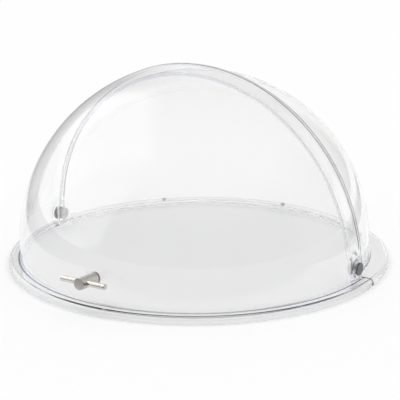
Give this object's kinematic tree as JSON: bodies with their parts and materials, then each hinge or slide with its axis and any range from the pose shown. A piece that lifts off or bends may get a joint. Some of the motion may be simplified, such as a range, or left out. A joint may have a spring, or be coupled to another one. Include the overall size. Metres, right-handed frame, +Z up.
{
  "type": "buffet food cover dome",
  "caption": "Clear round roll-top food cover: a front dome with a steel T-handle turns up and back over a fixed rear dome on side pivots.",
  "frame": {"origin": "centre of the base circle, on the surface that the cover stands on", "axes": "+Z up, +X along the pivot axis, -Y towards the handle"},
  "size_m": [0.44, 0.4529, 0.2285],
  "materials": {
    "front_clear": "clear polished polycarbonate",
    "rear_clear": "clear polished polycarbonate",
    "pivot_steel": "polished stainless steel",
    "handle_steel": "fine turned stainless steel",
    "screw_steel": "plain stainless steel",
    "spacer_plastic": "moulded nylon",
    "bumper_rubber": "soft silicone"
  },
  "bodies": {
    "rear": {"rear_cover": "rear_clear", "pivot_barrel_left": "pivot_steel", "pivot_barrel_right": "pivot_steel", "pivot_screw_left": "pivot_steel", "pivot_screw_right": "pivot_steel", "pivot_spacer_left": "spacer_plastic", "pivot_spacer_right": "spacer_plastic", "stop_bumpers": "bumper_rubber"},
    "front": {"front_cover": "front_clear", "handle_post": "handle_steel", "handle_bar": "handle_steel", "handle_screw": "screw_steel", "handle_washer": "screw_steel"}
  },
  "joints": [
    {"name": "cover_turn", "type": "hinge", "parent": "rear", "child": "front", "pos_m": [0, 0, 0.0215], "axis": [-1, 0, 0], "range_deg": [0, 92]}
  ]
}
